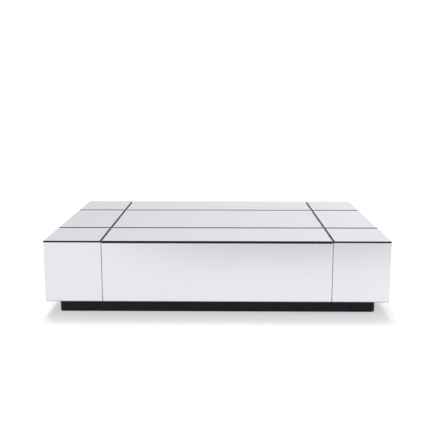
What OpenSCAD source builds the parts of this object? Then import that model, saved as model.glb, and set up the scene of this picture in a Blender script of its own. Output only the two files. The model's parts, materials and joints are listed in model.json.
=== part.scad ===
// Low mirror-clad block table on a recessed plinth.
// A press-to-open drawer sits behind its middle front panel.
// Millimetres, +Z up, front towards -Y. The origin is on the floor, under the middle of the block.

/* [Block] */
// Width of the mirrored block, left to right
block_w = 1400; // [1300:10:1600]
// Depth of the mirrored block, front to back
block_d = 1000; // [960:10:1100]
// Height of the mirrored block, from its underside to the top glass
block_h = 253; // [245:1:290]

/* [Mirror tiles] */
// Thickness of the mirror glass
glass_t = 6; // [4:0.5:7]
// Width of the bevel ground on each tile's face edges
arris = 1; // [0.5:0.1:1.5]
// Width of each end column of tiles, to the middle of the seam
end_column_w = 233; // [220:1:250]
// Depth of the front and back rows of tiles, to the middle of the groove
end_row_d = 275; // [240:1:300]
// Width of the open grooves between the tiles on the top
groove_w = 9; // [4:0.5:12]
// Width of the seams between the tiles on the front, back and ends
seam_w = 1.3; // [1.2:0.1:2.4]
// Thickness of the mounting tape behind the tiles
tape_t = 1; // [0.8:0.1:1.5]
// Width of a strip of mounting tape
tape_w = 30; // [20:1:40]

/* [Carcass] */
// Thickness of the carcass boards
board_t = 19; // [19:0.5:21]

/* [Drawer] */
// Shadow gap between the top glass and the drawer front
drawer_gap = 3; // [2:0.5:4]
// How far the drawer slides out
drawer_travel = 500; // [450:10:520]
// How far the closed drawer can be pressed in
press_travel = 2.8; // [2:0.1:3]
// Height of the drawer's side boards
drawer_side_h = 150; // [120:1:160]
// Thickness of the drawer's box and front boards
drawer_board_t = 15; // [12:0.5:15]
// Thickness of the drawer's bottom panel
drawer_bottom_t = 9; // [6:0.5:10]

/* [Runners] */
// Height of the telescopic runners
runner_h = 45; // [43:1:48]
// Thickness of a runner, from the partition to the drawer side
runner_t = 12.7; // [12.5:0.1:13.5]
// Sheet thickness of the runner channels
runner_sheet = 1.2; // [1:0.1:1.4]

/* [Push latches] */
// Diameter of a latch plunger
plunger_d = 10; // [8:0.5:11]
// How far a plunger follows the drawer out
plunger_travel = 35; // [25:1:38]

/* [Plinth] */
// Height of the plinth boards
plinth_h = 56; // [45:1:70]
// How far the plinth stands back from the block on every side
plinth_inset = 46; // [40:1:70]
// Thickness of the plinth boards
plinth_t = 25; // [22:1:28]
// Radius of the plinth's upright corners
plinth_corner_r = 18; // [3:1:20]
// Height of the glides under the plinth
glide_h = 1; // [1:0.5:4]
// Diameter of a glide
glide_d = 22; // [16:1:22]

/* [Hidden] */
$fn = 48;

// Heights
plinth_z = glide_h;
block_z = plinth_z + plinth_h;
top_z = block_z + block_h;
skin_t = glass_t + tape_t;
body_top = top_z - skin_t;
under_top = body_top - board_t;
over_bottom = block_z + board_t;
tile_clear = 0.3;
tape_end_gap = 24;
tape_side_gap = 12;
wide_tile = 300;
wall_tile_top = top_z - glass_t - tile_clear;
drawer_front_top = top_z - glass_t - drawer_gap;
wall_tape_len = body_top - block_z - 2 * tape_end_gap;

// Widths, measured to the right of the middle
body_x = block_w / 2 - skin_t;
end_in = body_x - board_t;
seam_x = block_w / 2 - end_column_w;
bay_x = seam_x - board_t / 2;
drawer_x = bay_x - runner_t;
drawer_in = drawer_x - drawer_board_t;
drawer_front_x = seam_x - seam_w / 2;

// Depths, front to back
face_y = -block_d / 2;
body_front = face_y + skin_t;
board_front = body_front + board_t;
body_back = -body_front;
back_in = body_back - board_t;
row_y = block_d / 2 - end_row_d;
box_front = body_front + drawer_board_t;
runner_spare = 45;
runner_back_gap = 5;
runner_len = drawer_travel + runner_spare;
box_back = box_front + runner_len + runner_back_gap;

// Push latches: the tip waits just past the press travel
tip_slack = 0.7;
tip_gap = press_travel + tip_slack;
tip_y = box_back + tip_gap;
tip_out = 8.5;
housing_y = tip_y + tip_out;
housing_spare = 25;
housing_len = plunger_travel + housing_spare;
housing_w = 26;
flange_t = 3;
flange_h = 56;
bore_end_wall = 4;
bore_clear = 0.06;
plunger_len = housing_len;
plunger_x = 300;
plunger_rise = 95;
plunger_z = over_bottom + plunger_rise;
panel_y = housing_y + housing_len;

// Drawer box and runner heights
drawer_rise = 20;
side_z = over_bottom + drawer_rise;
bottom_groove_rise = 8;
bottom_z = side_z + bottom_groove_rise;
groove_deep = 6;
runner_rise = 54;
runner_z = side_z + runner_rise;
runner_set_back = 9;
runner_front = box_front + runner_set_back;

// Fasteners
screw_d = 5;
screw_head_d = 9;
screw_head_h = 3;
screw_len = 50;
small_screw_d = 3.6;
small_head_d = 7;
small_head_h = 2;
front_screw_len = 26;
runner_screw_len = 14;
drive_w = 4;
drive_share = 0.7;
box_screw_len = 40;

// Where the screws go, along each board
upright_screw_y = 380;
back_screw_x = 320;
panel_screw_x = 200;
fascia_screw_inset = 45;
latch_screw_rise = 20;
front_screw_rise = 90;
box_screw_rises = [25, 120];
front_screw_places = [-360, -120, 120, 360];
cabinet_screw_places = [60, 270, 480];
drawer_screw_places = [40, 250, 500];

// Telescopic runner: the channels' half heights, and how far their flanges stop short of the far web
ball_gap = 4;
cabinet_half = runner_h / 2;
middle_half = cabinet_half - ball_gap;
drawer_half = middle_half - 2.5;
middle_web = runner_sheet + small_head_h + 1.2;
cabinet_tip = runner_t - 3.2;
middle_tip = runner_t - 2.2;
drawer_tip = middle_web + 2.4;

plinth_x = block_w / 2 - plinth_inset;
plinth_y = block_d / 2 - plinth_inset;
block_size = 45;
block_rise = 35;
glide_pin_d = 4;
glide_pin_len = 12;
glide_places = [-560, -190, 190, 560];

// ---------- shared shapes ----------

// Plain board between two opposite corners
module board(low, high) {
    translate(low)
        cube(high - low);
}

// Outline of a tile cut across, with its ground face edges
module tile_profile(length) {
    half = length / 2;
    polygon([
        [-half, 0], [half, 0], [half, glass_t - arris], [half - arris, glass_t],
        [arris - half, glass_t], [-half, glass_t - arris]
    ]);
}

// A tile lying flat on z = 0, face up
module tile(width, height) {
    color([0.86, 0.86, 0.89])
        intersection() {
            rotate([90, 0, 0])
                linear_extrude(height, center = true)
                    tile_profile(width);
            rotate([90, 0, 90])
                linear_extrude(width, center = true)
                    tile_profile(height);
        }
}

// Upright tile, spanning from low to high along its wall
// The wall faces turn degrees round from the front
module wall_tile(turn, wall_at, low, high, top) {
    rotate([0, 0, turn])
        translate([(low + high) / 2, glass_t - wall_at, (block_z + top) / 2])
            rotate([90, 0, 0])
                tile(high - low, top - block_z);
}

// Two strips of tape near a tile's edges, and one more up the middle of a wide tile
module tape_strips(low, high, length) {
    first = low + tape_side_gap;
    last = high - tape_side_gap - tape_w;
    places = high - low > wide_tile ? [first, (first + last) / 2, last] : [first, last];
    for (x = places)
        translate([x, -length / 2, 0])
            cube([tape_w, length, tape_t]);
}

// Countersunk screw standing on its tip along +Z, with its head's face at z = 0
module screw(length, shank_d, head_d, head_h) {
    difference() {
        union() {
            translate([0, 0, -length])
                cylinder(h = length, d = shank_d);
            translate([0, 0, -head_h])
                cylinder(h = head_h, d = head_d);
        }
        translate([0, 0, -head_h * drive_share])
            cylinder(h = head_h, d = drive_w, $fn = 6);
    }
}

// The hole that such a screw sits in
module screw_hole(length, shank_d, head_d, head_h) {
    translate([0, 0, -length])
        cylinder(h = length, d = shank_d);
    translate([0, 0, -head_h])
        cylinder(h = head_h + 1, d = head_d);
}

// ---------- where the fasteners go ----------

// Plan positions of the screws through the top and bottom boards into the upright boards
upright_points = concat(
    [for (x = end_in + board_t / 2, side = [-1, 1], place = [-1, 0, 1]) [side * x, place * upright_screw_y]],
    [for (side = [-1, 1], place = [-1, 0, 1]) [side * seam_x, place * upright_screw_y]],
    [for (place = [-1, 0, 1]) [place * back_screw_x, back_in + board_t / 2]],
    [for (side = [-1, 1]) [side * panel_screw_x, panel_y + board_t / 2]]
);

// Screws through the fascia boards into the front edges of the top and bottom boards
fascia_points = [
    for (
        side = [-1, 1],
        x = [seam_x + fascia_screw_inset, body_x - fascia_screw_inset],
        z = [block_z + board_t / 2, body_top - board_t / 2]
    ) [side * x, z]
];

module at_upright_screws() {
    for (p = upright_points) {
        translate([p[0], p[1], body_top])
            children();
        translate([p[0], p[1], block_z])
            rotate([180, 0, 0])
                children();
    }
}

module at_fascia_screws() {
    for (p = fascia_points)
        translate([p[0], body_front, p[1]])
            rotate([90, 0, 0])
                children();
}

// Screws through a cabinet runner's web into the partition
module at_cabinet_runner_screws() {
    for (side = [-1, 1], y = cabinet_screw_places)
        translate([side * (bay_x - runner_sheet - small_head_h), runner_front + y, runner_z])
            rotate([0, -side * 90, 0])
                children();
}

// Screws through a drawer runner's web into the drawer side
module at_drawer_runner_screws() {
    for (side = [-1, 1], y = drawer_screw_places)
        translate([side * (drawer_x + runner_sheet + small_head_h), runner_front + y, runner_z])
            rotate([0, side * 90, 0])
                children();
}

// Screws through the latch flanges into the panel behind them
module at_latch_screws() {
    for (side = [-1, 1], end = [-1, 1])
        translate([side * plunger_x, panel_y - flange_t, plunger_z + end * latch_screw_rise])
            rotate([90, 0, 0])
                children();
}

// Screws up through the plinth blocks into the bottom board
module at_plinth_screws() {
    for (p = plinth_block_points)
        translate([p[0], p[1], block_z - block_rise])
            rotate([180, 0, 0])
                children();
}

// Screws through the drawer sides into its inner front and back
module at_box_screws() {
    for (
        side = [-1, 1],
        y = [box_front + drawer_board_t / 2, box_back - drawer_board_t / 2],
        rise = box_screw_rises
    )
        translate([side * drawer_x, y, side_z + rise])
            rotate([0, side * 90, 0])
                children();
}

// Screws through the drawer's inner front into its front board
module at_front_screws() {
    for (x = front_screw_places)
        translate([x, box_front + drawer_board_t, side_z + front_screw_rise])
            rotate([-90, 0, 0])
                children();
}

module carcass_hole() {
    screw_hole(screw_len, screw_d, screw_head_d, screw_head_h);
}

module small_hole(length) {
    screw_hole(length, small_screw_d, small_head_d, small_head_h);
}

// ---------- mirror tiles ----------

column_edges = [
    [-block_w / 2, -seam_x - groove_w / 2],
    [groove_w / 2 - seam_x, seam_x - groove_w / 2],
    [seam_x + groove_w / 2, block_w / 2]
];
row_edges = [
    [-block_d / 2, -row_y - groove_w / 2],
    [groove_w / 2 - row_y, row_y - groove_w / 2],
    [row_y + groove_w / 2, block_d / 2]
];

module top_mirror(row, column) {
    across = column_edges[column];
    along = row_edges[row];
    translate([(across[0] + across[1]) / 2, (along[0] + along[1]) / 2, top_z - glass_t])
        tile(across[1] - across[0], along[1] - along[0]);
}

// Front and back tiles run the whole width, so that they cover the ends of the side tiles
front_edges = [
    [-block_w / 2, -seam_x - seam_w / 2],
    [seam_w / 2 - seam_x, seam_x - seam_w / 2],
    [seam_x + seam_w / 2, block_w / 2]
];
side_end = block_d / 2 - glass_t - tile_clear;
side_edges = [
    [-side_end, -row_y - seam_w / 2],
    [seam_w / 2 - row_y, row_y - seam_w / 2],
    [row_y + seam_w / 2, side_end]
];

module front_mirror(column, top = wall_tile_top) {
    wall_tile(0, block_d / 2, front_edges[column][0], front_edges[column][1], top);
}

// The back is numbered from the left as seen from the front
module back_mirror(column) {
    wall_tile(180, block_d / 2, front_edges[2 - column][0], front_edges[2 - column][1], wall_tile_top);
}

module left_mirror(row) {
    wall_tile(-90, block_w / 2, -side_edges[row][1], -side_edges[row][0], wall_tile_top);
}

module right_mirror(row) {
    wall_tile(90, block_w / 2, side_edges[row][0], side_edges[row][1], wall_tile_top);
}

// Upright tape on one wall, behind the tiles that span the given edges
// The carcass reaches to half_span there
module wall_tape(turn, wall_at, half_span, edges) {
    for (span = edges)
        rotate([0, 0, turn])
            translate([0, skin_t - wall_at, (block_z + body_top) / 2])
                rotate([90, 0, 0])
                    tape_strips(max(span[0], -half_span), min(span[1], half_span), wall_tape_len);
}

module mirror_tape() {
    color([0.35, 0.35, 0.36]) {
        for (across = column_edges, along = row_edges)
            translate([0, (along[0] + along[1]) / 2, body_top])
                tape_strips(across[0] + skin_t, across[1] - skin_t, along[1] - along[0] - 2 * tape_end_gap);
        wall_tape(0, block_d / 2, body_x, [front_edges[0], front_edges[2]]);
        wall_tape(180, block_d / 2, body_x, front_edges);
        wall_tape(-90, block_w / 2, body_back, side_edges);
        wall_tape(90, block_w / 2, body_back, side_edges);
    }
}

module drawer_mirror_tape() {
    color([0.35, 0.35, 0.36])
        wall_tape(0, block_d / 2, body_x, [front_edges[1]]);
}

// ---------- carcass ----------

module carcass_color() {
    color([0.16, 0.15, 0.16])
        children();
}

module top_board() {
    color([0.54, 0.53, 0.57])
        difference() {
            board([-body_x, board_front, under_top], [body_x, body_back, body_top]);
            at_upright_screws()
                carcass_hole();
            at_fascia_screws()
                carcass_hole();
        }
}

module bottom_board() {
    carcass_color()
        difference() {
            board([-body_x, board_front, block_z], [body_x, body_back, over_bottom]);
            at_upright_screws()
                carcass_hole();
            at_fascia_screws()
                carcass_hole();
            at_plinth_screws()
                carcass_hole();
        }
}

// Upright board that the top and bottom boards are screwed to
module upright(low, high) {
    carcass_color()
        difference() {
            board([low[0], low[1], over_bottom], [high[0], high[1], under_top]);
            at_upright_screws()
                carcass_hole();
        }
}

module left_end_board() {
    upright([-body_x, board_front], [-end_in, body_back]);
}

module right_end_board() {
    upright([end_in, board_front], [body_x, body_back]);
}

module back_board() {
    upright([-end_in, back_in], [end_in, body_back]);
}

module partition(side) {
    difference() {
        upright(
            [side * seam_x - board_t / 2, board_front],
            [side * seam_x + board_t / 2, back_in]
        );
        at_cabinet_runner_screws()
            small_hole(runner_screw_len);
    }
}

module bay_back_panel() {
    difference() {
        upright([-bay_x, panel_y], [bay_x, panel_y + board_t]);
        at_latch_screws()
            small_hole(runner_screw_len);
    }
}

// Rib that carries the middle of the top behind the drawer bay
module rear_rib() {
    carcass_color()
        board([-board_t / 2, panel_y + board_t, over_bottom], [board_t / 2, back_in, under_top]);
}

module fascia_board(side) {
    near = seam_x + seam_w / 2;
    carcass_color()
        difference() {
            board(
                [side > 0 ? near : -body_x, body_front, block_z],
                [side > 0 ? body_x : -near, board_front, body_top]
            );
            at_fascia_screws()
                carcass_hole();
        }
}

// ---------- plinth ----------

plinth_block_x = plinth_x - plinth_t - block_size / 2;
plinth_block_y = plinth_y - plinth_t - block_size / 2;
plinth_block_points = concat(
    [for (side = [-1, 1], end = [-1, 1]) [side * plinth_block_x, end * plinth_block_y]],
    [for (side = [-1, 1], end = [-1, 1]) [side * (plinth_t / 2 + block_size / 2), end * plinth_block_y]]
);
glide_points = concat(
    [for (x = glide_places, end = [-1, 1]) [x, end * (plinth_y - plinth_t / 2)]],
    [for (side = [-1, 1]) [side * (plinth_x - plinth_t / 2), 0]]
);

module plinth_color() {
    color([0.14, 0.13, 0.15])
        children();
}

module glide_pin_holes() {
    for (p = glide_points)
        translate([p[0], p[1], plinth_z])
            cylinder(h = glide_pin_len, d = glide_pin_d);
}

// Outline of the whole plinth, with rounded upright corners
module plinth_outline() {
    square([2 * (plinth_x - plinth_corner_r), 2 * plinth_y], center = true);
    square([2 * plinth_x, 2 * (plinth_y - plinth_corner_r)], center = true);
    for (side = [-1, 1], end = [-1, 1])
        translate([side * (plinth_x - plinth_corner_r), end * (plinth_y - plinth_corner_r)])
            circle(r = plinth_corner_r);
}

// Long plinth board, with the rounded corners at both its ends
module plinth_long_board(end) {
    plinth_color()
        difference() {
            translate([0, 0, plinth_z])
                linear_extrude(plinth_h)
                    intersection() {
                        plinth_outline();
                        translate([0, end * (plinth_y - plinth_t / 2)])
                            square([2 * plinth_x, plinth_t], center = true);
                    }
            glide_pin_holes();
        }
}

module plinth_short_board(side) {
    middle = side * (plinth_x - plinth_t / 2);
    reach = plinth_y - plinth_t;
    plinth_color()
        difference() {
            board([middle - plinth_t / 2, -reach, plinth_z], [middle + plinth_t / 2, reach, block_z]);
            glide_pin_holes();
        }
}

module plinth_cross_board() {
    reach = plinth_y - plinth_t;
    plinth_color()
        board([-plinth_t / 2, -reach, plinth_z], [plinth_t / 2, reach, block_z]);
}

module plinth_blocks() {
    color([0.72, 0.6, 0.42])
        difference() {
            for (p = plinth_block_points)
                translate([p[0] - block_size / 2, p[1] - block_size / 2, block_z - block_rise])
                    cube([block_size, block_size, block_rise]);
            at_plinth_screws()
                carcass_hole();
        }
}

module glides() {
    color([0.08, 0.08, 0.08])
        for (p = glide_points)
            translate([p[0], p[1], 0]) {
                cylinder(h = glide_h, d = glide_d);
                cylinder(h = glide_h + glide_pin_len, d = glide_pin_d);
            }
}

// ---------- drawer ----------

module drawer_color() {
    color([0.62, 0.6, 0.58])
        children();
}

module drawer_front_board() {
    carcass_color()
        difference() {
            board([-drawer_front_x, body_front, block_z], [drawer_front_x, box_front, drawer_front_top]);
            at_front_screws()
                small_hole(front_screw_len);
        }
}

// The bottom panel, which sits in grooves in the four boards round it
module drawer_bottom_shape() {
    board(
        [-drawer_in - groove_deep, box_front + drawer_board_t - groove_deep, bottom_z],
        [drawer_in + groove_deep, box_back - drawer_board_t + groove_deep, bottom_z + drawer_bottom_t]
    );
}

module drawer_box_board(low, high) {
    drawer_color()
        difference() {
            board([low[0], low[1], side_z], [high[0], high[1], side_z + drawer_side_h]);
            drawer_bottom_shape();
            at_box_screws()
                small_hole(box_screw_len);
            at_front_screws()
                small_hole(front_screw_len);
            at_drawer_runner_screws()
                small_hole(runner_screw_len);
        }
}

module drawer_inner_front() {
    drawer_box_board([-drawer_in, box_front], [drawer_in, box_front + drawer_board_t]);
}

module drawer_back() {
    drawer_box_board([-drawer_in, box_back - drawer_board_t], [drawer_in, box_back]);
}

module drawer_left_side() {
    drawer_box_board([-drawer_x, box_front], [-drawer_in, box_back]);
}

module drawer_right_side() {
    drawer_box_board([drawer_in, box_front], [drawer_x, box_back]);
}

module drawer_bottom() {
    drawer_color()
        drawer_bottom_shape();
}

// ---------- runners ----------

// Channel seen from its end: its web stands at x = web and its flanges reach to x = tip
module channel_profile(web, tip, half_h) {
    way = sign(tip - web);
    for (end = [-1, 1])
        translate([min(web, tip), end * (half_h - runner_sheet / 2) - runner_sheet / 2])
            square([abs(tip - web), runner_sheet]);
    translate([way > 0 ? web : web - runner_sheet, -half_h])
        square([runner_sheet, 2 * half_h]);
}

// Channel along the drawer's way, with x counted from the partition towards the drawer
module channel(side, web, tip, half_h) {
    color([0.75, 0.76, 0.78])
        translate([side * bay_x, runner_front, runner_z])
            rotate([90, 0, side > 0 ? 180 : 0])
                translate([0, 0, side > 0 ? 0 : -runner_len])
                    linear_extrude(runner_len)
                        channel_profile(web, tip, half_h);
}

module cabinet_runner(side) {
    difference() {
        channel(side, 0, cabinet_tip, cabinet_half);
        at_cabinet_runner_screws()
            small_hole(runner_screw_len);
    }
}

module middle_runner(side) {
    channel(side, middle_web, middle_tip, middle_half);
}

module drawer_runner(side) {
    difference() {
        channel(side, runner_t, drawer_tip, drawer_half);
        at_drawer_runner_screws()
            small_hole(runner_screw_len);
    }
}

// ---------- push latches and bumpers ----------

module latch_housings() {
    color([0.2, 0.2, 0.21])
        for (side = [-1, 1])
            difference() {
                translate([side * plunger_x, 0, plunger_z]) {
                    board(
                        [-housing_w / 2, housing_y, -housing_w / 2],
                        [housing_w / 2, panel_y, housing_w / 2]
                    );
                    board(
                        [-housing_w / 2, panel_y - flange_t, -flange_h / 2],
                        [housing_w / 2, panel_y, flange_h / 2]
                    );
                }
                translate([side * plunger_x, panel_y - bore_end_wall, plunger_z])
                    rotate([90, 0, 0])
                        cylinder(h = housing_len, r = plunger_d / 2 + bore_clear);
                at_latch_screws()
                    small_hole(runner_screw_len);
            }
}

module latch_plunger(side) {
    tip_len = 3;
    tip_d = plunger_d - 1.5;
    color([0.85, 0.85, 0.83])
        translate([side * plunger_x, tip_y, plunger_z])
            rotate([-90, 0, 0]) {
                cylinder(h = tip_len, d = tip_d);
                translate([0, 0, tip_len])
                    cylinder(h = plunger_len - tip_len, d = plunger_d);
            }
}

// Soft dots on the partitions' front edges, which stop the pressed drawer
module front_bumpers() {
    bumper_d = 8;
    bumper_inset = 15;
    pressed_gap = 0.2;
    bumper_t = board_t - drawer_board_t - press_travel - pressed_gap;
    bumper_x = (bay_x + drawer_front_x) / 2;
    color([0.9, 0.9, 0.9])
        for (side = [-1, 1], z = [over_bottom + bumper_inset, under_top - bumper_inset])
            translate([side * bumper_x, board_front, z])
                rotate([90, 0, 0])
                    cylinder(h = bumper_t, d = bumper_d);
}

// ---------- fasteners ----------

module screw_color() {
    color([0.7, 0.68, 0.6])
        children();
}

module small_screw(length) {
    screw(length, small_screw_d, small_head_d, small_head_h);
}

module carcass_screws() {
    color([0.05, 0.05, 0.05]) {
        at_upright_screws()
            screw(screw_len, screw_d, screw_head_d, screw_head_h);
        at_fascia_screws()
            screw(screw_len, screw_d, screw_head_d, screw_head_h);
        at_cabinet_runner_screws()
            small_screw(runner_screw_len);
        at_latch_screws()
            small_screw(runner_screw_len);
    }
}

module plinth_screws() {
    screw_color()
        at_plinth_screws()
            screw(screw_len, screw_d, screw_head_d, screw_head_h);
}

module drawer_screws() {
    screw_color() {
        at_box_screws()
            small_screw(box_screw_len);
        at_front_screws()
            small_screw(front_screw_len);
        at_drawer_runner_screws()
            small_screw(runner_screw_len);
    }
}

// ---------- what is drawn ----------

top_mirror(0, 0);  // top_mirror_front_left
top_mirror(0, 1);  // top_mirror_front_centre
top_mirror(0, 2);  // top_mirror_front_right
top_mirror(1, 0);  // top_mirror_middle_left
top_mirror(1, 1);  // top_mirror_middle_centre
top_mirror(1, 2);  // top_mirror_middle_right
top_mirror(2, 0);  // top_mirror_back_left
top_mirror(2, 1);  // top_mirror_back_centre
top_mirror(2, 2);  // top_mirror_back_right
front_mirror(0);  // front_mirror_left
front_mirror(2);  // front_mirror_right
front_mirror(1, drawer_front_top);  // drawer_mirror
back_mirror(0);  // back_mirror_left
back_mirror(1);  // back_mirror_centre
back_mirror(2);  // back_mirror_right
left_mirror(0);  // left_mirror_front
left_mirror(1);  // left_mirror_middle
left_mirror(2);  // left_mirror_back
right_mirror(0);  // right_mirror_front
right_mirror(1);  // right_mirror_middle
right_mirror(2);  // right_mirror_back
mirror_tape();
drawer_mirror_tape();
top_board();
bottom_board();
left_end_board();
right_end_board();
back_board();
fascia_board(-1);  // left_fascia_board
fascia_board(1);  // right_fascia_board
partition(-1);  // left_partition
partition(1);  // right_partition
bay_back_panel();
rear_rib();
plinth_long_board(-1);  // plinth_front_board
plinth_long_board(1);  // plinth_back_board
plinth_short_board(-1);  // plinth_left_board
plinth_short_board(1);  // plinth_right_board
plinth_cross_board();
plinth_blocks();
glides();
drawer_front_board();
drawer_inner_front();
drawer_back();
drawer_left_side();
drawer_right_side();
drawer_bottom();
cabinet_runner(-1);  // left_cabinet_runner
middle_runner(-1);  // left_middle_runner
drawer_runner(-1);  // left_drawer_runner
cabinet_runner(1);  // right_cabinet_runner
middle_runner(1);  // right_middle_runner
drawer_runner(1);  // right_drawer_runner
latch_housings();
latch_plunger(-1);  // left_latch_plunger
latch_plunger(1);  // right_latch_plunger
front_bumpers();
carcass_screws();
plinth_screws();
drawer_screws();
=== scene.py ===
"""Looks of the low mirror-clad block table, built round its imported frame. Metres, front towards -Y."""
import json
import math

import bmesh
import bpy
from mathutils import Matrix, Vector


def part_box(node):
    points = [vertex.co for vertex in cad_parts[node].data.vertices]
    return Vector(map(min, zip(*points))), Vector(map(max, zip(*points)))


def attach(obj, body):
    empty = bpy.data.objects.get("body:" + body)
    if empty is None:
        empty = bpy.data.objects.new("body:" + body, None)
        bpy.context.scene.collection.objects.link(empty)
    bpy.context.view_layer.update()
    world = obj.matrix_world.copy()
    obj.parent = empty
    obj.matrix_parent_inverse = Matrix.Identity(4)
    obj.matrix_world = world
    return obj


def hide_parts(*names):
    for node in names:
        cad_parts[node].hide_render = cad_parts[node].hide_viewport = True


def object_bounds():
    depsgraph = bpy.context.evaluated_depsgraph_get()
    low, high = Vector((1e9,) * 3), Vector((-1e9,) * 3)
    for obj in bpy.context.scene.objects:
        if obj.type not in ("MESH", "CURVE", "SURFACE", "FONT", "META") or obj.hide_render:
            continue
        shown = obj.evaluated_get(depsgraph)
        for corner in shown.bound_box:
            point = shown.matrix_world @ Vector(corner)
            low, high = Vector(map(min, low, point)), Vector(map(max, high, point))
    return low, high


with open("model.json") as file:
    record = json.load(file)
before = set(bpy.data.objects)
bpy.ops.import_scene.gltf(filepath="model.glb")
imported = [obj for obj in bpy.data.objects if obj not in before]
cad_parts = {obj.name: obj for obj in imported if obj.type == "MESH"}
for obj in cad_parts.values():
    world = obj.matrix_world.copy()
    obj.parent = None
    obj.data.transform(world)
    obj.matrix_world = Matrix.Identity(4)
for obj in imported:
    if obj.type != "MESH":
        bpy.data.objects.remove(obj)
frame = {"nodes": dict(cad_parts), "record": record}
CAD_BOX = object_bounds()

MM = 0.001
ROWS = ("front", "middle", "back")
COLUMNS = ("left", "centre", "right")
SIDES = ("left", "right")
TOP_TILES = [f"top_mirror_{row}_{column}" for row in ROWS for column in COLUMNS]
WALL_TILES = {
    (0, -1, 0): ["front_mirror_left", "drawer_mirror", "front_mirror_right"],
    (0, 1, 0): [f"back_mirror_{column}" for column in COLUMNS],
    (-1, 0, 0): [f"left_mirror_{row}" for row in ROWS],
    (1, 0, 0): [f"right_mirror_{row}" for row in ROWS],
}
PLINTH_BOARDS = ["plinth_front_board", "plinth_back_board", "plinth_left_board", "plinth_right_board"]
SLOT_OF = {part["node"]: part["material_slot"] for part in frame["record"]["subparts"]}
BODY_OF = {node: body for body, nodes in frame["record"]["behaviour"]["bodies"].items() for node in nodes}


def nodes_in(slot):
    return [node for node, its_slot in SLOT_OF.items() if its_slot == slot]


# ---------- shader wiring ----------

COLOUR, VALUE, VECTOR = "NodeSocketColor", "NodeSocketFloat", "NodeSocketVector"


class Wiring:
    """A node tree with the few calls that the effects need."""

    def __init__(self, tree):
        self.tree = tree

    def node(self, kind, **settings):
        made = self.tree.nodes.new(kind)
        for key, value in settings.items():
            setattr(made, key, value)
        return made

    def feed(self, value, socket):
        """Links a socket to an input, or sets the input when the value is a plain one."""
        if isinstance(value, (tuple, int, float)):
            socket.default_value = value
        else:
            self.tree.links.new(value, socket)

    def place(self, stretch=(1, 1, 1), output="Object"):
        """The piece's own coordinates, stretched."""
        mapping = self.node("ShaderNodeMapping")
        mapping.inputs["Scale"].default_value = stretch
        self.feed(self.node("ShaderNodeTexCoord").outputs[output], mapping.inputs["Vector"])
        return mapping.outputs["Vector"]

    def noise(self, scale, detail=3, roughness=0.5, place=None):
        made = self.node("ShaderNodeTexNoise")
        made.inputs["Scale"].default_value = scale
        made.inputs["Detail"].default_value = detail
        made.inputs["Roughness"].default_value = roughness
        self.feed(place or self.place(), made.inputs["Vector"])
        return made.outputs["Fac"]

    def cells(self, scale, place=None):
        """Distance from the middles of scattered cells."""
        made = self.node("ShaderNodeTexVoronoi")
        made.inputs["Scale"].default_value = scale
        self.feed(place or self.place(), made.inputs["Vector"])
        return made.outputs["Distance"]

    def spread(self, value, low, high, out_low=0.0, out_high=1.0, kind="LINEAR"):
        made = self.node("ShaderNodeMapRange", clamp=True, interpolation_type=kind)
        limits = {"From Min": low, "From Max": high, "To Min": out_low, "To Max": out_high}
        for label, number in limits.items():
            made.inputs[label].default_value = number
        self.feed(value, made.inputs["Value"])
        return made.outputs["Result"]

    def maths(self, operation, first, second):
        made = self.node("ShaderNodeMath", operation=operation)
        self.feed(first, made.inputs[0])
        self.feed(second, made.inputs[1])
        return made.outputs["Value"]

    def mix(self, share, first, second):
        """A colour between two, each a socket or a plain colour."""
        made = self.node("ShaderNodeMix", data_type="RGBA")
        self.feed(share, made.inputs["Factor"])
        self.feed(first, made.inputs[6])
        self.feed(second, made.inputs[7])
        return made.outputs[2]

    def bump(self, height, strength, distance):
        made = self.node("ShaderNodeBump")
        made.inputs["Strength"].default_value = strength
        made.inputs["Distance"].default_value = distance
        self.feed(height, made.inputs["Height"])
        return made.outputs["Normal"]


class Effect(Wiring):
    """A shared node group that puts out a colour, a roughness and a normal."""

    def __init__(self, name, **inputs):
        super().__init__(bpy.data.node_groups.new(name, "ShaderNodeTree"))
        for label, default in inputs.items():
            kind = COLOUR if isinstance(default, tuple) else VALUE
            socket = self.tree.interface.new_socket(label, in_out="INPUT", socket_type=kind)
            socket.default_value = default
        for label, kind in (("Color", COLOUR), ("Roughness", VALUE), ("Normal", VECTOR)):
            self.tree.interface.new_socket(label, in_out="OUTPUT", socket_type=kind)
        self.given = self.node("NodeGroupInput").outputs
        self.result = self.node("NodeGroupOutput").inputs

    def give(self, colour, roughness, normal):
        for label, socket in (("Color", colour), ("Roughness", roughness), ("Normal", normal)):
            self.feed(socket, self.result[label])


# ---------- shared effects ----------

def silvering_through_glass():
    """Silvering under clear glass: a faint drift of tint, wiping marks and the float line's slow waves."""
    e = Effect("silvering_through_glass", Silver=(0.8, 0.8, 0.84, 1), Tinted=(0.8, 0.8, 0.84, 1), Haze=0.02)
    drift = e.spread(e.noise(1.6, 1), 0.35, 0.65)
    wiping = e.noise(7, 4, 0.6, e.place((1, 0.35, 2.2)))
    marks = e.maths("MULTIPLY", e.spread(wiping, 0.5, 0.75), e.given["Haze"])
    e.give(
        e.mix(drift, e.given["Silver"], e.given["Tinted"]),
        e.maths("ADD", marks, 0.008),
        e.bump(e.noise(2.2, 0), 0.12, 0.4 * MM),
    )
    return e.tree


def polished_glass_edge():
    """Ground and polished glass edge: greenish black, with the fine lengthwise marks of the wheel."""
    e = Effect("polished_glass_edge", Deep=(0.01, 0.016, 0.013, 1), Shallow=(0.02, 0.03, 0.026, 1))
    depth = e.spread(e.noise(9, 3), 0.3, 0.7)
    wheel = e.noise(900, 2, 0.5, e.place((0.04, 0.04, 1)))
    e.give(
        e.mix(depth, e.given["Deep"], e.given["Shallow"]),
        e.spread(wheel, 0.2, 0.8, 0.12, 0.26),
        e.bump(wheel, 0.1, 0.05 * MM),
    )
    return e.tree


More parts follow.
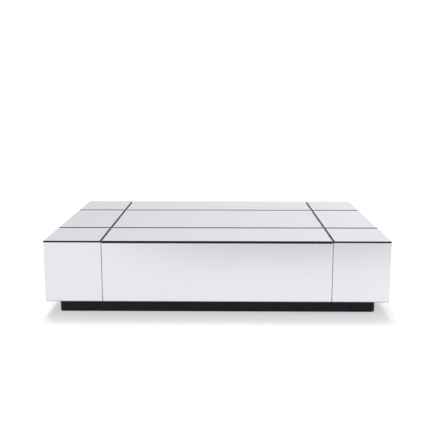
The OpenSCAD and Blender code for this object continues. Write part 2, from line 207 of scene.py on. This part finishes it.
def sprayed_board():
    """Sprayed board: fine orange peel, a little fibre telegraphing through, and a thin bloom of dust."""
    e = Effect(
        "sprayed_board", Paint=(0.02, 0.018, 0.022, 1), Bloom=(0.05, 0.046, 0.05, 1), Sheen=0.42, Grain=1.0
    )
    cloud = e.spread(e.noise(11, 4, 0.6), 0.45, 0.8)
    speck = e.spread(e.noise(620, 2, 0.7), 0.58, 0.72, 0, 0.6)
    bloom = e.maths("MAXIMUM", e.maths("MULTIPLY", cloud, 0.55), speck)
    peel = e.noise(430, 3, 0.55)
    fibre = e.noise(190, 3, 0.6, e.place((0.08, 1, 1)))
    height = e.maths("ADD", peel, e.maths("MULTIPLY", fibre, e.given["Grain"]))
    e.give(
        e.mix(bloom, e.given["Paint"], e.given["Bloom"]),
        e.maths("ADD", e.given["Sheen"], e.spread(peel, 0.3, 0.7, -0.06, 0.08)),
        e.bump(height, 0.35, 0.25 * MM),
    )
    return e.tree


def linen_foil():
    """Printed and embossed furniture foil: crossing threads, with slubs of a lighter tone."""
    e = Effect("linen_foil", Ground=(0.3, 0.29, 0.28, 1), Thread=(0.36, 0.35, 0.34, 1))
    threads = [
        e.noise(1500, 2, 0.6, e.place(stretch))
        for stretch in ((0.03, 1, 1), (1, 0.03, 1), (1, 1, 0.03))
    ]
    woven = e.maths("MAXIMUM", e.maths("MAXIMUM", threads[0], threads[1]), threads[2])
    slub = e.spread(woven, 0.56, 0.74)
    e.give(
        e.mix(slub, e.given["Ground"], e.given["Thread"]),
        e.spread(woven, 0.4, 0.75, 0.62, 0.48),
        e.bump(woven, 0.3, 0.12 * MM),
    )
    return e.tree


def sawn_softwood():
    """Sawn softwood: growth rings cut along the block, dark latewood lines and the saw's furry marks."""
    e = Effect("sawn_softwood", Early=(0.6, 0.45, 0.27, 1), Late=(0.36, 0.22, 0.1, 1))
    bend = e.noise(22, 2, 0.5, e.place((0.3, 1, 1)))
    rings = e.noise(260, 2, 0.4, e.place((0.03, 1, 0.35)))
    band = e.spread(e.maths("ADD", rings, e.maths("MULTIPLY", bend, 0.5)), 0.68, 0.9)
    saw = e.noise(1400, 2, 0.6, e.place((1, 0.1, 0.1)))
    e.give(
        e.mix(band, e.given["Early"], e.given["Late"]),
        e.spread(saw, 0.3, 0.7, 0.66, 0.86),
        e.bump(saw, 0.4, 0.3 * MM),
    )
    return e.tree


def closed_cell_foam():
    """Foam tape: small closed cells, with painted shade darkening their pits."""
    e = Effect("closed_cell_foam", Skin=(0.06, 0.06, 0.065, 1), Pit=(0.02, 0.02, 0.022, 1))
    cell = e.cells(1500)
    e.give(
        e.mix(e.spread(cell, 0.1, 0.5), e.given["Pit"], e.given["Skin"]),
        e.spread(cell, 0.0, 0.6, 0.9, 0.6),
        e.bump(cell, 0.5, 0.3 * MM),
    )
    return e.tree


def plated_steel():
    """Zinc-plated steel: drawing marks along the piece, soft spangle and duller patches."""
    e = Effect("plated_steel", Bright=(0.66, 0.67, 0.69, 1), Dull=(0.5, 0.51, 0.53, 1), Gloss=0.26)
    spangle = e.cells(140)
    patches = e.spread(e.noise(30, 3, 0.6), 0.35, 0.7)
    drawn = e.noise(1300, 2, 0.6, e.place((1, 0.02, 1)))
    tone = e.maths("MULTIPLY", patches, e.spread(spangle, 0.1, 0.7, 0.5, 1.0))
    e.give(
        e.mix(tone, e.given["Bright"], e.given["Dull"]),
        e.maths("ADD", e.given["Gloss"], e.spread(drawn, 0.3, 0.7, 0, 0.16)),
        e.bump(drawn, 0.15, 0.08 * MM),
    )
    return e.tree


def moulded_plastic():
    """Moulded plastic: spark-eroded texture, with slow flow marks in its tone."""
    e = Effect("moulded_plastic", Body=(0.05, 0.05, 0.055, 1), Flow=(0.07, 0.07, 0.075, 1), Gloss=0.45)
    eroded = e.noise(2600, 2, 0.6)
    e.give(
        e.mix(e.spread(e.noise(45, 2), 0.4, 0.7), e.given["Body"], e.given["Flow"]),
        e.maths("ADD", e.given["Gloss"], e.spread(eroded, 0.3, 0.7, -0.05, 0.08)),
        e.bump(eroded, 0.25, 0.1 * MM),
    )
    return e.tree


# ---------- materials ----------

EFFECTS = {}


def finish_of(name, make_effect, values, **plain):
    """A material whose colour, roughness and normal come from a shared effect."""
    if make_effect not in EFFECTS:
        EFFECTS[make_effect] = make_effect()
    made = bpy.data.materials.new(name)
    made.use_nodes = True
    tree = made.node_tree
    shader = tree.nodes["Principled BSDF"]
    effect = tree.nodes.new("ShaderNodeGroup")
    effect.node_tree = EFFECTS[make_effect]
    for label, value in values.items():
        effect.inputs[label].default_value = value
    for label, target in (("Color", "Base Color"), ("Roughness", "Roughness"), ("Normal", "Normal")):
        tree.links.new(effect.outputs[label], shader.inputs[target])
    for label, value in plain.items():
        shader.inputs[label.replace("_", " ")].default_value = value
    return made


MIRROR_FACE = finish_of(
    "mirror_face", silvering_through_glass,
    {"Silver": (0.665, 0.66, 0.695, 1), "Tinted": (0.70, 0.68, 0.71, 1), "Haze": 0.03},
    Metallic=1.0, Coat_Weight=1.0, Coat_Roughness=0.0,
)
GROUND_BEVEL = finish_of(
    "ground_bevel", silvering_through_glass,
    {"Silver": (0.5, 0.5, 0.52, 1), "Tinted": (0.56, 0.56, 0.57, 1), "Haze": 0.2},
    Metallic=1.0,
)
GLASS_EDGE = finish_of(
    "glass_edge", polished_glass_edge,
    {"Deep": (0.004, 0.007, 0.0055, 1), "Shallow": (0.009, 0.014, 0.012, 1)},
    Specular_IOR_Level=0.06,
)
# Painted shade: a dark purple-grey without gloss for the bands and edges that stand in for the grooves seen
# through the glass
GROOVE_SHADE = finish_of(
    "groove_seen_through_glass", polished_glass_edge,
    {"Deep": (0.03, 0.029, 0.04, 1), "Shallow": (0.05, 0.048, 0.064, 1)},
    Specular_IOR_Level=0.0,
)
MIRROR_BACKING = finish_of(
    "mirror_backing", sprayed_board,
    {"Paint": (0.07, 0.075, 0.08, 1), "Bloom": (0.1, 0.1, 0.1, 1), "Sheen": 0.5, "Grain": 0.2},
)
PLINTH_LACQUER = finish_of(
    "plinth_lacquer", sprayed_board,
    {"Paint": (0.0135, 0.0095, 0.0165, 1), "Bloom": (0.035, 0.026, 0.04, 1), "Sheen": 0.45, "Grain": 1.0},
    Specular_IOR_Level=0.12,
)
BLACK_BOARD = finish_of(
    "black_board", sprayed_board,
    {"Paint": (0.026, 0.024, 0.031, 1), "Bloom": (0.052, 0.049, 0.06, 1), "Sheen": 0.7, "Grain": 0.8},
)
GROOVE_FLOOR = finish_of(
    "groove_floor", sprayed_board,
    {"Paint": (0.23, 0.225, 0.26, 1), "Bloom": (0.32, 0.315, 0.36, 1), "Sheen": 0.7, "Grain": 0.8},
)
DRAWER_FOIL = finish_of(
    "drawer_foil", linen_foil, {"Ground": (0.28, 0.27, 0.262, 1), "Thread": (0.36, 0.35, 0.338, 1)}
)
SOFTWOOD = finish_of(
    "softwood", sawn_softwood, {"Early": (0.58, 0.43, 0.26, 1), "Late": (0.38, 0.24, 0.12, 1)}
)
# The foam's pits carry painted shade
FOAM_TAPE = finish_of(
    "foam_tape", closed_cell_foam, {"Skin": (0.06, 0.06, 0.065, 1), "Pit": (0.02, 0.02, 0.022, 1)}
)
RUNNER_STEEL = finish_of(
    "runner_steel", plated_steel,
    {"Bright": (0.66, 0.67, 0.69, 1), "Dull": (0.52, 0.53, 0.55, 1), "Gloss": 0.26}, Metallic=1.0,
)
SCREW_STEEL = finish_of(
    "screw_steel", plated_steel,
    {"Bright": (0.6, 0.56, 0.44, 1), "Dull": (0.5, 0.45, 0.33, 1), "Gloss": 0.3}, Metallic=1.0,
)
BLACK_SCREW_STEEL = finish_of(
    "black_screw_steel", plated_steel,
    {"Bright": (0.045, 0.044, 0.05, 1), "Dull": (0.03, 0.029, 0.033, 1), "Gloss": 0.45}, Metallic=0.6,
)
LATCH_PLASTIC = finish_of(
    "latch_plastic", moulded_plastic,
    {"Body": (0.04, 0.04, 0.045, 1), "Flow": (0.055, 0.055, 0.06, 1), "Gloss": 0.5},
)
PLUNGER_PLASTIC = finish_of(
    "plunger_plastic", moulded_plastic,
    {"Body": (0.55, 0.55, 0.53, 1), "Flow": (0.62, 0.62, 0.6, 1), "Gloss": 0.28},
)
GLIDE_PLASTIC = finish_of(
    "glide_plastic", moulded_plastic,
    {"Body": (0.018, 0.018, 0.018, 1), "Flow": (0.028, 0.028, 0.028, 1), "Gloss": 0.5},
)
BUMPER_RUBBER = finish_of(
    "bumper_rubber", moulded_plastic,
    {"Body": (0.66, 0.66, 0.65, 1), "Flow": (0.74, 0.74, 0.73, 1), "Gloss": 0.3},
    Subsurface_Weight=0.3, Subsurface_Scale=0.001,
)


# ---------- modelling helpers ----------

SAME_PLACE = 0.001 * MM


def only(piece):
    bpy.ops.object.select_all(action="DESELECT")
    piece.select_set(True)
    bpy.context.view_layer.objects.active = piece


def settle(name):
    """Names the piece just added and puts its place into its mesh."""
    bpy.ops.object.transform_apply(location=True, rotation=True, scale=True)
    piece = bpy.context.object
    piece.name = piece.data.name = name
    return piece


def start_box(name, low, high):
    bpy.ops.object.select_all(action="DESELECT")
    bpy.ops.mesh.primitive_cube_add(size=1, location=(low + high) / 2, scale=high - low)
    return settle(name)


def start_rod(name, foot, head, radius, vertices=32):
    bpy.ops.object.select_all(action="DESELECT")
    way = head - foot
    bpy.ops.mesh.primitive_cylinder_add(
        vertices=vertices, radius=radius, depth=way.length, location=(foot + head) / 2,
        rotation=way.to_track_quat("Z", "Y").to_euler(),
    )
    return settle(name)


def pick(piece, kind, wanted):
    """Goes into edit mode with only those edges or faces selected that wanted() says yes to."""
    only(piece)
    bpy.ops.object.mode_set(mode="EDIT")
    bpy.ops.mesh.select_mode(type=kind)
    bpy.ops.mesh.select_all(action="DESELECT")
    mesh = bmesh.from_edit_mesh(piece.data)
    for item in mesh.edges if kind == "EDGE" else mesh.faces:
        item.select_set(bool(wanted(item)))
    bmesh.update_edit_mesh(piece.data)


def leave_edit_mode():
    bpy.ops.object.mode_set(mode="OBJECT")


def middle_of(edge):
    return (edge.verts[0].co + edge.verts[1].co) / 2


def way_of(edge):
    return (edge.verts[1].co - edge.verts[0].co).normalized()


def bevel_edges(piece, wanted, width, segments=1, profile=0.5, clamp=True):
    pick(piece, "EDGE", wanted)
    bpy.ops.mesh.bevel(offset=width, segments=segments, profile=profile, affect="EDGES", clamp_overlap=clamp)
    leave_edit_mode()


def cut_across(piece, point, normal):
    """Adds an edge loop where a plane crosses the piece."""
    pick(piece, "FACE", lambda face: True)
    bpy.ops.mesh.bisect(plane_co=point, plane_no=normal)
    leave_edit_mode()


def extrude(way):
    bpy.ops.mesh.extrude_region_move(TRANSFORM_OT_translate={"value": way})


def apply_modifier(piece, kind, **settings):
    only(piece)
    modifier = piece.modifiers.new(kind.lower(), kind)
    for key, value in settings.items():
        setattr(modifier, key, value)
    bpy.ops.object.modifier_apply(modifier=modifier.name)


def smooth(piece, degrees=35):
    only(piece)
    bpy.ops.object.shade_smooth_by_angle(angle=math.radians(degrees))


def join(pieces, name):
    bpy.ops.object.select_all(action="DESELECT")
    for piece in pieces:
        piece.select_set(True)
    bpy.context.view_layer.objects.active = pieces[0]
    bpy.ops.object.join()
    pieces[0].name = pieces[0].data.name = name
    return pieces[0]


def copied(piece, move):
    """A copy of a piece with its own mesh, moved by a matrix."""
    twin = piece.copy()
    twin.data = piece.data.copy()
    twin.data.transform(move)
    bpy.context.scene.collection.objects.link(twin)
    return twin


def paint(piece, materials, number_of=None):
    """Gives each face the material whose number number_of(centre, normal) returns."""
    piece.data.materials.clear()
    for material in materials:
        piece.data.materials.append(material)
    for face in piece.data.polygons:
        face.material_index = number_of(face.center, face.normal) if number_of else 0


def dress(piece, node):
    """Hides the CAD node that a new piece stands for, and lets the piece ride on that node's body."""
    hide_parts(node)
    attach(piece, BODY_OF[node])


def solids_of(node):
    """The points of each separate solid in a CAD node, ordered by place."""
    mesh = bmesh.new()
    mesh.from_mesh(frame["nodes"][node].data)
    bmesh.ops.remove_doubles(mesh, verts=mesh.verts, dist=SAME_PLACE)
    waiting = set(mesh.verts)
    solids = []
    while waiting:
        reached = [waiting.pop()]
        for vertex in reached:
            for edge in vertex.link_edges:
                other = edge.other_vert(vertex)
                if other in waiting:
                    waiting.remove(other)
                    reached.append(other)
        solids.append([vertex.co.copy() for vertex in reached])
    mesh.free()
    return sorted(solids, key=lambda points: tuple(round(min(p[i] for p in points), 4) for i in range(3)))


def box_of(points):
    return (
        Vector(min(p[i] for p in points) for i in range(3)),
        Vector(max(p[i] for p in points) for i in range(3)),
    )


# ---------- mirror tiles ----------

ARRIS = 1 * MM
ARRIS_PROFILE = 0.35
CORNER_NIP = 0.8 * MM
PAINT_LAYER = 0.3 * MM
# Painted shade: widths of the dark band painted beside crosswise grooves and of the strip painted along the
# wall tiles' feet
GROOVE_SHADE_W = 8 * MM
LIP_SHADE_W = 1.2 * MM
SILVER, BEVEL, EDGE, BACKING, SHADE = range(5)


def model_tile(node, outward, bevel_finish):
    """A tile of silvered glass, with nipped corners, a bevelled face, polished edges and a painted back.

    In front of a crosswise groove a narrow band of painted shade stands in for the groove's edge seen through
    the tile, and along the foot of a wall tile a thin strip of the same painted shade stands in for its lower
    edge seen through the glass.
    """
    low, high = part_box(node)
    outward = Vector(outward)
    axis = max(range(3), key=lambda i: abs(outward[i]))
    face_at = (high if outward[axis] > 0 else low)[axis]
    back_at = (low if outward[axis] > 0 else high)[axis]
    piece = start_box(node + "_glass", low, high)
    bevel_edges(piece, lambda edge: abs(way_of(edge)[axis]) > 0.9, CORNER_NIP, 2)

    def round_the_face(edge):
        return abs(middle_of(edge)[axis] - face_at) < SAME_PLACE and abs(way_of(edge)[axis]) < 0.1

    bevel_edges(piece, round_the_face, ARRIS, 2, ARRIS_PROFILE, clamp=False)
    layer_at = back_at + PAINT_LAYER * outward[axis]
    layer_point = Vector((0, 0, 0))
    layer_point[axis] = layer_at
    cut_across(piece, layer_point, outward)
    lip_shade_top = low.z
    shade_band_start = high.y
    if axis != 2:
        lip_shade_top += ARRIS + LIP_SHADE_W
        cut_across(piece, (0, 0, lip_shade_top), (0, 0, 1))
    elif high.y < CAD_BOX[1][1] - ARRIS:
        shade_band_start -= ARRIS + GROOVE_SHADE_W
        cut_across(piece, (0, shade_band_start, 0), (0, 1, 0))

    def beside_a_groove(centre, normal):
        """True on a top tile's bevels, apart from those along the block's outer edges."""
        across = [i for i in (0, 1) if abs(normal[i]) > 0.1]
        return axis == 2 and all(abs(centre[i]) < CAD_BOX[1][i] - 2 * ARRIS for i in across)

    def part_of(centre, normal):
        if (centre[axis] - layer_at) * outward[axis] < 0:
            return BACKING
        if normal.dot(outward) > 0.999:
            # Painted shade on the face: the band in front of a crosswise groove and the strip along a wall
            # tile's foot
            shaded = centre.z < lip_shade_top or (axis == 2 and centre.y > shade_band_start)
            return SHADE if shaded else SILVER
        # Painted shade on the top tiles' glass edges that face a groove
        if beside_a_groove(centre, normal):
            return SHADE
        return BEVEL if normal.dot(outward) > 0.1 else EDGE

    paint(piece, (MIRROR_FACE, bevel_finish, GLASS_EDGE, MIRROR_BACKING, GROOVE_SHADE), part_of)
    dress(piece, node)


for tile in TOP_TILES:
    model_tile(tile, (0, 0, 1), GLASS_EDGE)
for facing, tiles in WALL_TILES.items():
    for tile in tiles:
        model_tile(tile, facing, GROUND_BEVEL)


# ---------- plinth ----------

PLINTH_CORNER_R = 18 * MM
PLINTH_EASE = 5 * MM
PLINTH_RIM = 10 * MM


def model_plinth_board(node):
    """A lacquered plinth board with an eased foot; the long ones carry the rounded upright corners."""
    low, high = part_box(node)
    across = 1 if high.x - low.x > high.y - low.y else 0
    outer = max((low[across], high[across]), key=abs)
    piece = start_box(node + "_lacquered", low, high)

    def upright_corner(edge):
        return abs(way_of(edge).z) > 0.9 and abs(middle_of(edge)[across] - outer) < SAME_PLACE

    def outer_foot(edge):
        middle = middle_of(edge)
        return middle.z < low.z + SAME_PLACE and abs(middle[across]) > abs(outer) - PLINTH_RIM

    if across == 1:
        bevel_edges(piece, upright_corner, PLINTH_CORNER_R, 8)
    bevel_edges(piece, outer_foot, PLINTH_EASE, 4)
    paint(piece, (PLINTH_LACQUER,))
    smooth(piece)
    dress(piece, node)


for board in PLINTH_BOARDS:
    model_plinth_board(board)


# ---------- boards and glue blocks ----------

SEALED_EASE = 0.6 * MM
FOILED_EASE = 0.8 * MM
LONG_EDGE = 10 * MM


def ease_board(node, finish, ease, suffix):
    """A node's own cut shape, with its long outer edges eased so that they catch the light."""
    piece = frame["nodes"][node].copy()
    piece.data = piece.data.copy()
    piece.name = piece.data.name = node + suffix
    bpy.context.scene.collection.objects.link(piece)
    pick(piece, "FACE", lambda face: True)
    bpy.ops.mesh.remove_doubles(threshold=SAME_PLACE)
    bpy.ops.mesh.dissolve_limited(angle_limit=math.radians(1))
    bpy.ops.mesh.normals_make_consistent(inside=False)
    leave_edit_mode()

    def long_outer_edge(edge):
        return edge.is_convex and edge.calc_length() > LONG_EDGE and edge.calc_face_angle() > math.radians(60)

    bevel_edges(piece, long_outer_edge, ease, 2)
    paint(piece, (finish,))
    dress(piece, node)


for board in nodes_in("black_board"):
    ease_board(board, BLACK_BOARD, SEALED_EASE, "_sealed")
for board in nodes_in("grey_board"):
    ease_board(board, GROOVE_FLOOR, SEALED_EASE, "_sealed")
for board in nodes_in("drawer_board"):
    ease_board(board, DRAWER_FOIL, FOILED_EASE, "_foiled")
ease_board("plinth_cross_board", BLACK_BOARD, SEALED_EASE, "_sealed")
ease_board("plinth_blocks", SOFTWOOD, FOILED_EASE, "_sawn")


# ---------- runners ----------

RUNNER_SHEET = 1.2 * MM
FOLD_R = 2 * MM
SLOT_W = 5 * MM
SLOT_LEN = 12 * MM
SLOT_PLACES = (0.2, 0.5, 0.8)
SLOT_CUTTER_REACH = 5 * MM


def cut_slot(piece, centre):
    """Cuts an oblong slot, lengthwise, through the web at a point."""
    reach = Vector((SLOT_CUTTER_REACH, 0, 0))
    cutter = start_rod("slot_cutter", centre - reach, centre + reach, SLOT_W / 2, 16)
    pick(cutter, "FACE", lambda face: face.normal.y > 0.1)
    bpy.ops.transform.translate(value=(0, SLOT_LEN - SLOT_W, 0))
    leave_edit_mode()
    apply_modifier(piece, "BOOLEAN", object=cutter, operation="DIFFERENCE", solver="EXACT")
    bpy.data.objects.remove(cutter)


def model_runner(node, web_outside):
    """A rolled channel of a telescopic runner, its folds rounded and its web slotted."""
    low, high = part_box(node)
    left = low.x < 0
    web_low = left == web_outside
    web_x = low.x if web_low else high.x
    way = 1 if web_low else -1
    flange = high.x - low.x
    bpy.ops.object.select_all(action="DESELECT")
    bpy.ops.mesh.primitive_plane_add(
        size=1, location=(web_x, (low.y + high.y) / 2, (low.z + high.z) / 2), rotation=(0, math.pi / 2, 0)
    )
    bpy.context.object.scale = (high.z - low.z, high.y - low.y, 1)
    piece = settle(node + "_channel")
    pick(piece, "EDGE", lambda edge: abs(way_of(edge).y) > 0.9)
    bpy.ops.mesh.extrude_edges_move(TRANSFORM_OT_translate={"value": (way * flange, 0, 0)})
    leave_edit_mode()

    def fold(edge):
        return abs(way_of(edge).y) > 0.9 and abs(middle_of(edge).x - web_x) < SAME_PLACE

    bevel_edges(piece, fold, FOLD_R, 4)
    pick(piece, "FACE", lambda face: True)
    bpy.ops.mesh.normals_make_consistent(inside=False)
    leave_edit_mode()
    web = next(face for face in piece.data.polygons if abs(face.normal.x) > 0.99)
    outwards = web.normal.x * way < 0
    apply_modifier(piece, "SOLIDIFY", thickness=RUNNER_SHEET, offset=-1 if outwards else 1)
    pick(piece, "FACE", lambda face: True)
    bpy.ops.mesh.normals_make_consistent(inside=False)
    leave_edit_mode()
    for share in SLOT_PLACES:
        cut_slot(piece, Vector((web_x, low.y + share * (high.y - low.y), (low.z + high.z) / 2)))
    paint(piece, (RUNNER_STEEL,))
    smooth(piece)
    dress(piece, node)


for side in SIDES:
    model_runner(f"{side}_cabinet_runner", True)
    model_runner(f"{side}_middle_runner", True)
    model_runner(f"{side}_drawer_runner", False)


# ---------- latches, bumpers and glides ----------

HOUSING_EASE = 0.8 * MM
PLUNGER_TIP_LEN = 3 * MM
PLUNGER_TIP_ROUND = 1.2 * MM
PLUNGER_STEP = 0.75 * MM
PLUNGER_TAIL_ROUND = 0.5 * MM
BUMPER_ROUND = 0.6 * MM
GLIDE_ROUND = 0.5 * MM
GLIDE_PIN_R = 2 * MM


def model_plunger(node):
    """A latch plunger: a rod with a stepped, rounded tip towards the drawer."""
    low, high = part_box(node)
    middle = (low + high) / 2
    radius = (high.x - low.x) / 2
    shoulder_y = low.y + PLUNGER_TIP_LEN
    shoulder = Vector((middle.x, shoulder_y, middle.z))
    tail = Vector((middle.x, high.y, middle.z))
    piece = start_rod(node + "_turned", shoulder, tail, radius)
    pick(piece, "FACE", lambda face: face.normal.y < -0.9)
    bpy.ops.mesh.inset(thickness=PLUNGER_STEP)
    extrude((0, -PLUNGER_TIP_LEN, 0))
    leave_edit_mode()
    bevel_edges(piece, lambda edge: abs(middle_of(edge).y - low.y) < SAME_PLACE, PLUNGER_TIP_ROUND, 4)
    bevel_edges(piece, lambda edge: abs(middle_of(edge).y - high.y) < SAME_PLACE, PLUNGER_TAIL_ROUND, 2)
    paint(piece, (PLUNGER_PLASTIC,))
    smooth(piece)
    dress(piece, node)


def model_bumpers():
    """Domed dots on the partitions' front edges."""
    dots = []
    for points in solids_of("front_bumpers"):
        low, high = box_of(points)
        middle = (low + high) / 2
        dot = start_rod(
            "front_bumper", Vector((middle.x, high.y, middle.z)), Vector((middle.x, low.y, middle.z)),
            (high.x - low.x) / 2,
        )
        bevel_edges(dot, lambda edge: abs(middle_of(edge).y - low.y) < SAME_PLACE, BUMPER_ROUND, 4)
        dots.append(dot)
    piece = join(dots, "front_bumpers_domed")
    paint(piece, (BUMPER_RUBBER,))
    smooth(piece)
    dress(piece, "front_bumpers")


def model_glides():
    """Nail-in glides: a disc with a rounded rim, and its pin up into the plinth board."""
    nails = []
    for points in solids_of("glides"):
        low, high = box_of(points)
        middle = (low + high) / 2
        radius = (high.x - low.x) / 2
        on_rim = [p for p in points if (Vector(p.xy) - Vector(middle.xy)).length > radius * 0.9]
        disc_top = max(p.z for p in on_rim)
        foot = Vector((middle.x, middle.y, low.z))
        nail = start_rod("glide", foot, Vector((middle.x, middle.y, disc_top)), radius)
        pick(nail, "FACE", lambda face: face.normal.z > 0.9)
        bpy.ops.mesh.inset(thickness=radius - GLIDE_PIN_R)
        extrude((0, 0, high.z - disc_top))
        leave_edit_mode()
        bevel_edges(nail, lambda edge: abs(middle_of(edge).z - low.z) < SAME_PLACE, GLIDE_ROUND, 3)
        nails.append(nail)
    piece = join(nails, "glides_moulded")
    paint(piece, (GLIDE_PLASTIC,))
    smooth(piece)
    dress(piece, "glides")


ease_board("latch_housings", LATCH_PLASTIC, HOUSING_EASE, "_moulded")
for side in SIDES:
    model_plunger(f"{side}_latch_plunger")
model_bumpers()
model_glides()


# ---------- screws ----------

RECESS_SHARE = 0.45
RECESS_DEEP = 0.6
RECESS_TAPER = 0.7
TIP_SHARE = 1.2
TIP_POINT = 0.08
CONE_SHARE = 0.8


def model_screw(length, shank_r, head_r, head_h):
    """A countersunk screw standing on its tip, its head's face at the origin, with a drive recess."""
    tip_len = shank_r * 2 * TIP_SHARE
    screw = start_rod("screw", Vector((0, 0, tip_len - length)), Vector((0, 0, -head_h)), shank_r, 16)
    pick(screw, "FACE", lambda face: face.normal.z < -0.9)
    extrude((0, 0, -tip_len))
    bpy.ops.transform.resize(value=(TIP_POINT, TIP_POINT, 1), center_override=(0, 0, -length))
    leave_edit_mode()
    pick(screw, "FACE", lambda face: face.normal.z > 0.9)
    extrude((0, 0, head_h * CONE_SHARE))
    grow = head_r / shank_r
    bpy.ops.transform.resize(value=(grow, grow, 1))
    extrude((0, 0, head_h * (1 - CONE_SHARE)))
    bpy.ops.mesh.inset(thickness=head_r * (1 - RECESS_SHARE))
    extrude((0, 0, -head_h * RECESS_DEEP))
    bpy.ops.transform.resize(value=(RECESS_TAPER, RECESS_TAPER, 1))
    leave_edit_mode()
    return screw


def screw_facts(points):
    """Where a screw's head is, which way it points, and its length, shank and head radii and head height."""
    low, high = box_of(points)
    size = high - low
    axis = max(range(3), key=lambda i: size[i])
    middle = (low + high) / 2

    def reach(point):
        gap = point - middle
        gap[axis] = 0
        return gap.length

    head_r = max(reach(p) for p in points)
    wide = [p[axis] for p in points if reach(p) > head_r * 0.98]
    head_up = max(wide) > middle[axis]
    head_at = high[axis] if head_up else low[axis]
    tip_at = low[axis] if head_up else high[axis]
    shank_r = max(reach(p) for p in points if abs(p[axis] - tip_at) < SAME_PLACE)
    head = middle.copy()
    head[axis] = head_at
    up = Vector((0, 0, 0))
    up[axis] = 1 if head_up else -1
    return head, up, size[axis], shank_r, head_r, max(wide) - min(wide)


def model_screws(node, finish):
    """All the screws of a CAD node as one piece, each kind modelled once and copied."""
    kinds = {}
    placed = []
    for points in solids_of(node):
        head, up, *sizes = screw_facts(points)
        kind = tuple(round(size, 5) for size in sizes)
        if kind not in kinds:
            kinds[kind] = model_screw(*kind)
        turn = up.to_track_quat("Z", "Y").to_matrix().to_4x4()
        placed.append(copied(kinds[kind], Matrix.Translation(head) @ turn))
    for pattern in kinds.values():
        bpy.data.objects.remove(pattern)
    piece = join(placed, node + "_countersunk")
    paint(piece, (finish,))
    smooth(piece)
    dress(piece, node)


for node in nodes_in("screw_steel"):
    model_screws(node, SCREW_STEEL)
for node in nodes_in("black_screw_steel"):
    model_screws(node, BLACK_SCREW_STEEL)


# ---------- tape ----------

def finish_cad(nodes, finish):
    """Gives CAD nodes whose shape is already right their finished material."""
    for node in nodes:
        mesh = frame["nodes"][node].data
        mesh.materials.clear()
        mesh.materials.append(finish)


finish_cad(nodes_in("foam_tape"), FOAM_TAPE)


# ---------- studio ----------

FLOOR_GLOW = (0.5, 0.5, 0.5, 1)
# Painted shadow: the floor's glow drops to this lavender grey in a soft round patch in front of the block,
# which the front mirrors show
FLOOR_SHADED = (0.165, 0.16, 0.21, 1)
FLOOR_PAINT = (0.4, 0.4, 0.4, 1)
SHADED_MIDDLE = (0.44, -2.3, 0)
SHADED_FROM = 0.2
SHADED_TO = 1.6


def studio_floor():
    """A pale floor with an even glow, and a painted shadow where the person at the camera would stand: there
    the glow fades to a lavender grey.
    """
    bpy.ops.mesh.primitive_plane_add(size=40)
    floor = bpy.context.object
    floor.name = "studio_floor"
    made = bpy.data.materials.new("studio_floor")
    made.use_nodes = True
    shader = made.node_tree.nodes["Principled BSDF"]
    shader.inputs["Base Color"].default_value = FLOOR_PAINT
    shader.inputs["Roughness"].default_value = 0.8
    shader.inputs["Specular IOR Level"].default_value = 0.0
    w = Wiring(made.node_tree)
    away = w.node("ShaderNodeVectorMath", operation="DISTANCE")
    away.inputs[1].default_value = SHADED_MIDDLE
    w.feed(w.place(), away.inputs[0])
    share = w.spread(away.outputs["Value"], SHADED_FROM, SHADED_TO, kind="SMOOTHSTEP")
    # Painted shadow: the glow is lowered round SHADED_MIDDLE
    w.feed(w.mix(share, FLOOR_SHADED, FLOOR_GLOW), shader.inputs["Emission Color"])
    shader.inputs["Emission Strength"].default_value = 1.0
    floor.data.materials.append(made)


def studio_world():
    """White round the horizon, a grey band above it that darkens to the left, and a plain dome."""
    world = bpy.data.worlds.new("studio")
    bpy.context.scene.world = world
    world.use_nodes = True
    w = Wiring(world.node_tree)
    parts = w.node("ShaderNodeSeparateXYZ")
    w.feed(w.place(output="Generated"), parts.inputs["Vector"])
    x, z = parts.outputs["X"], parts.outputs["Z"]
    band = w.mix(w.spread(x, -0.2, 0.2), (0.785, 0.785, 0.83, 1), (0.92, 0.92, 0.955, 1))
    lifted = w.mix(w.spread(z, 0.16, 0.24), band, w.mix(0.4, band, (1, 1, 1, 1)))
    horizon = w.mix(w.spread(z, 0.12, 0.15, kind="SMOOTHSTEP"), (1.08, 1.08, 1.08, 1), lifted)
    dome = w.mix(w.spread(z, 0.3, 0.6, kind="SMOOTHSTEP"), horizon, (0.68, 0.68, 0.69, 1))
    w.feed(dome, w.tree.nodes["Background"].inputs["Color"])


def aim(lamp, place, target):
    lamp.location = place
    lamp.rotation_euler = (Vector(target) - Vector(place)).to_track_quat("-Z", "Y").to_euler()


def soft_sun(name, place, power, degrees):
    """A broad even light from far away, which the mirrors don't show."""
    data = bpy.data.lights.new(name, "SUN")
    data.energy = power
    data.angle = math.radians(degrees)
    lamp = bpy.data.objects.new(name, data)
    lamp.visible_glossy = False
    bpy.context.scene.collection.objects.link(lamp)
    aim(lamp, place, (0, 0, 0))


def soft_box(name, place, target, width, height, power):
    """A soft lit panel, which the mirrors don't show."""
    data = bpy.data.lights.new(name, "AREA")
    data.shape = "RECTANGLE"
    data.size, data.size_y = width, height
    data.energy = power
    lamp = bpy.data.objects.new(name, data)
    lamp.visible_glossy = False
    bpy.context.scene.collection.objects.link(lamp)
    aim(lamp, place, target)


def camera():
    data = bpy.data.cameras.new("table_view")
    data.sensor_width = 36
    data.lens = 58.8
    seen_from = bpy.data.objects.new("table_view", data)
    bpy.context.scene.collection.objects.link(seen_from)
    seen_from.location = (0.0305, -3.253, 0.9198)
    seen_from.rotation_euler = [math.radians(turn) for turn in (79.644, 0.036, 0.786)]
    bpy.context.scene.camera = seen_from


studio_floor()
studio_world()
soft_sun("back_sun", (-0.15, 1.2, 3.0), 3.3, 24)
soft_box("front_box", (1.0, -1.5, 0.8), (0.35, -0.5, 0.0), 1.6, 0.5, 1.5)
camera()
bpy.context.scene.view_settings.view_transform = "Standard"
